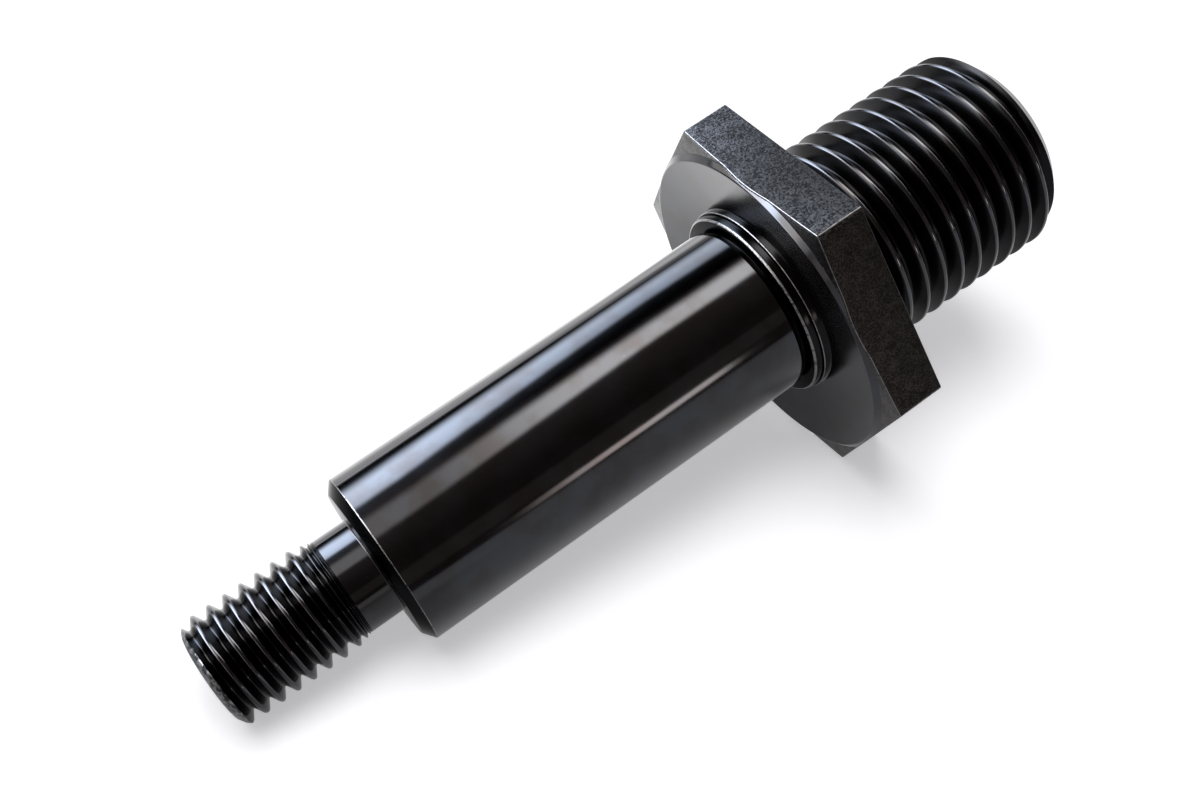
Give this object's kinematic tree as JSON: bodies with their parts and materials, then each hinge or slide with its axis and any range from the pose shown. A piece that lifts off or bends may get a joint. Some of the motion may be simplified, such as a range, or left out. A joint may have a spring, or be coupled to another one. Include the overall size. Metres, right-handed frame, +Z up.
{
  "type": "cnc turned part",
  "caption": "Turned steel stud with a thin hexagon collar, a long plain shank ending in a short small thread, and a thick short thread behind the collar.",
  "frame": {"origin": "on the table under the middle of the stud's box, as it lies at rest on one collar flat's front edge and the small thread", "axes": "+X along the stud towards its large thread, seen from above (the turning axis rises 10.6 degrees to +X), +Z up through the collar's top flat"},
  "size_m": [0.085, 0.0348, 0.0306],
  "materials": {
    "black_steel": "black oxide on turned steel, glossy on the turned faces and slightly rough on the hexagon's flats"
  },
  "bodies": {
    "root": {"hex_collar_stud": "black_steel"}
  },
  "joints": []
}
